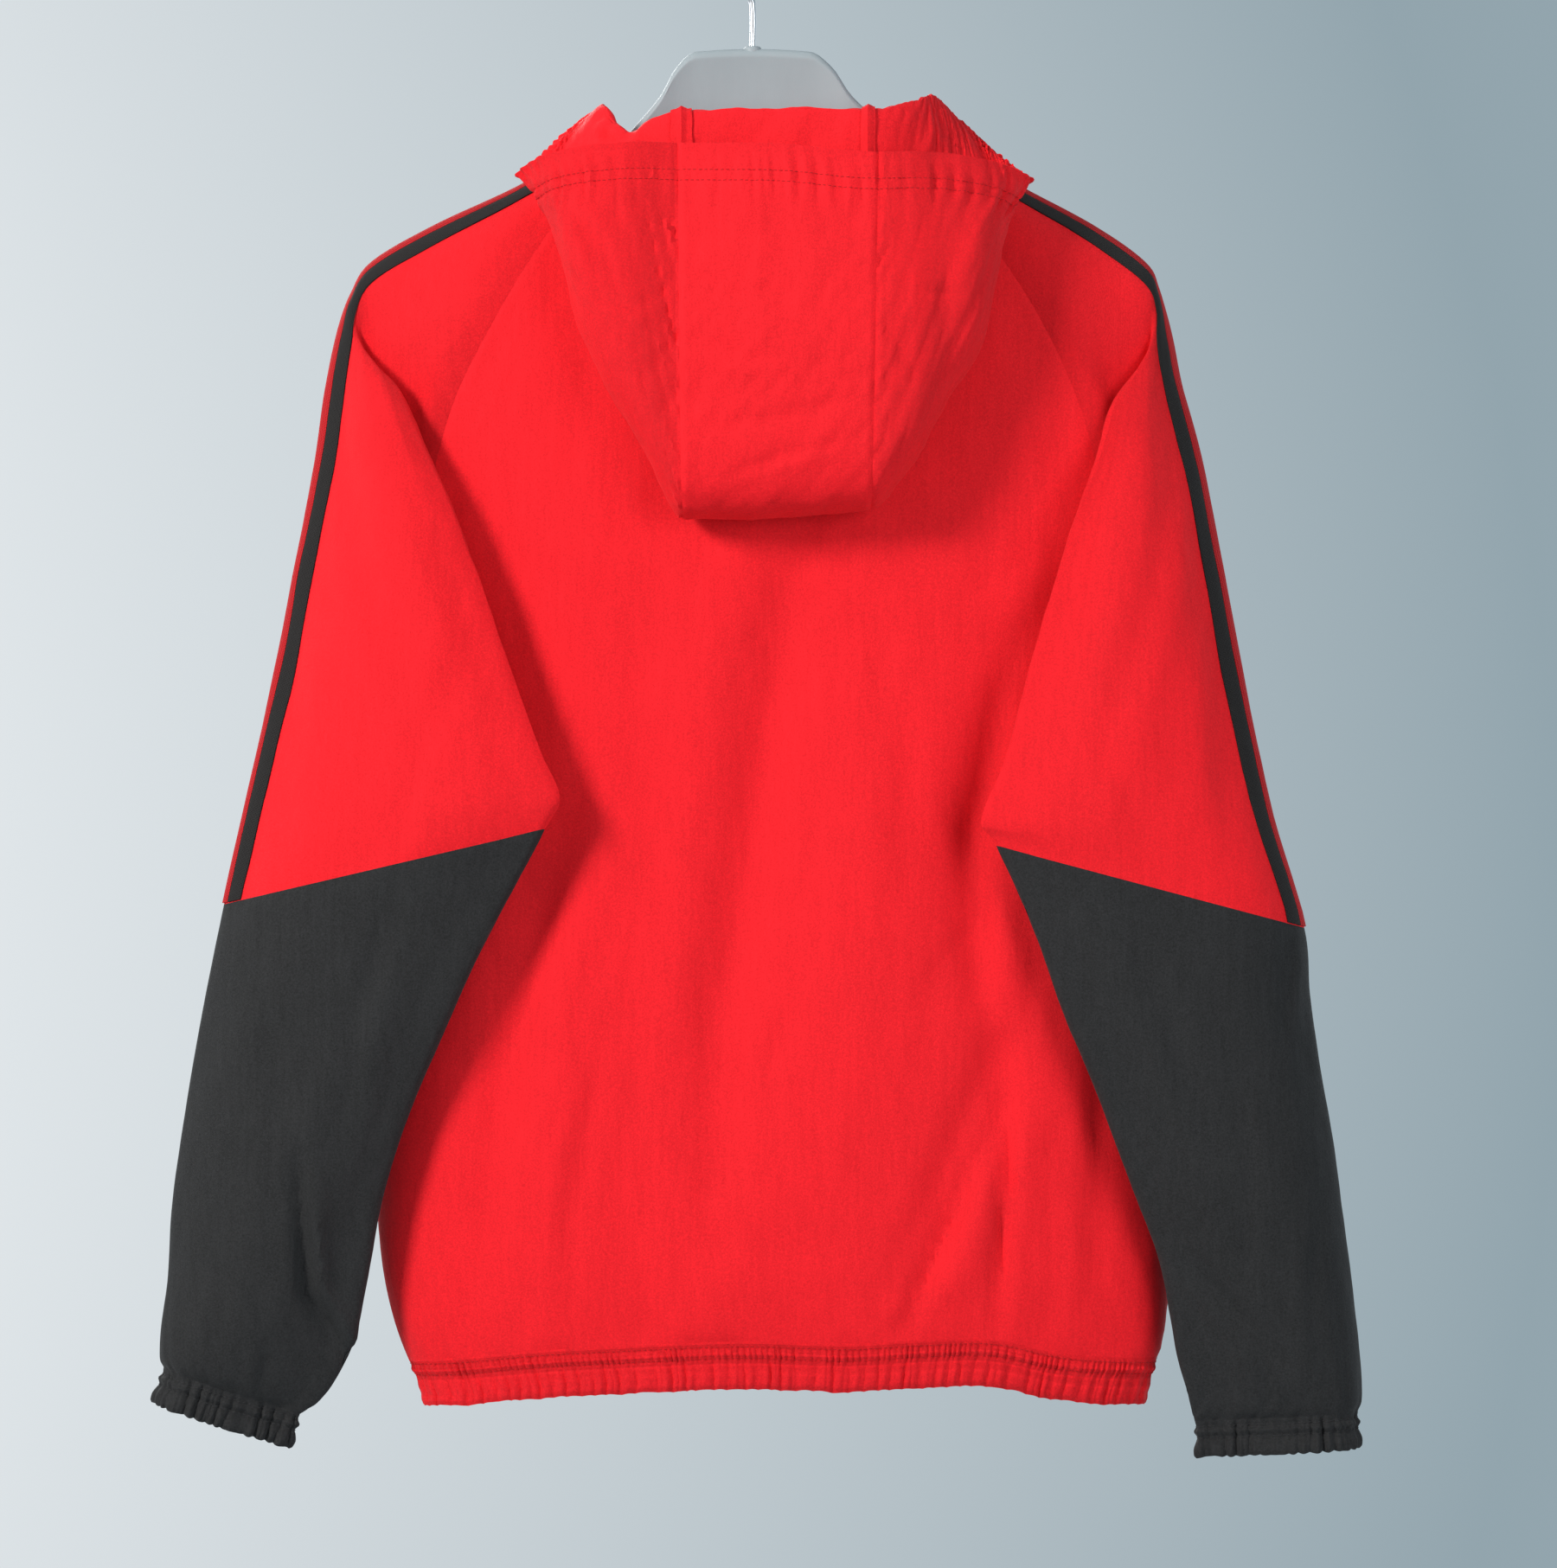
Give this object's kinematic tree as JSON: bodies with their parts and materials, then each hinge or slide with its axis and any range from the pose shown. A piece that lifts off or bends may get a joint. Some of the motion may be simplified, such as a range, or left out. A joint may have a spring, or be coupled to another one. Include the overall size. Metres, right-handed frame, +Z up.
{
  "type": "hooded windbreaker on a clothes hanger",
  "caption": "Light hooded windbreaker with raglan sleeves, dark lower sleeves, shoulder tapes, gathered cuffs and hem, and hood folded back, on a moulded hanger with a wire hook.",
  "frame": {"origin": "the point inside the top of the hanger's hook where it sits on a rail", "axes": "+Z up; +Y towards the back of the garment; +X towards the wearer's left"},
  "size_m": [0.6988, 0.1462, 0.8785],
  "materials": {
    "red_shell": "matte woven nylon",
    "black_shell": "matte woven nylon",
    "black_tape": "knitted tape",
    "rib_knit": "ribbed knit tape",
    "zip_tape": "woven tape",
    "zip_metal": "satin",
    "hanger_plastic": "satin moulded",
    "steel": "bright plated wire"
  },
  "bodies": {
    "jacket": {"back": "red_shell", "front_left": "red_shell", "front_right": "red_shell", "sleeve_upper_left": "red_shell", "sleeve_upper_right": "red_shell", "hem_casing": "red_shell", "hood_centre": "red_shell", "hood_left": "red_shell", "hood_right": "red_shell", "sleeve_lower_left": "black_shell", "sleeve_lower_right": "black_shell", "cuff_left": "black_shell", "cuff_right": "black_shell", "stripe_tape_left": "black_tape", "stripe_tape_right": "black_tape", "rib_tape_left": "rib_knit", "rib_tape_right": "rib_knit", "zip_tape_left": "zip_tape", "zip_tape_right": "zip_tape", "zip_slider": "zip_metal", "hanger_body": "hanger_plastic", "hanger_hook": "steel"},
    "zip_pull": {"zip_pull": "zip_metal"}
  },
  "joints": [
    {"name": "pull_swing", "type": "hinge", "parent": "jacket", "child": "zip_pull", "pos_m": [-0.00856, -0.04145, -0.2152], "axis": [-1, 0, 0], "range_deg": [0, 150]}
  ]
}
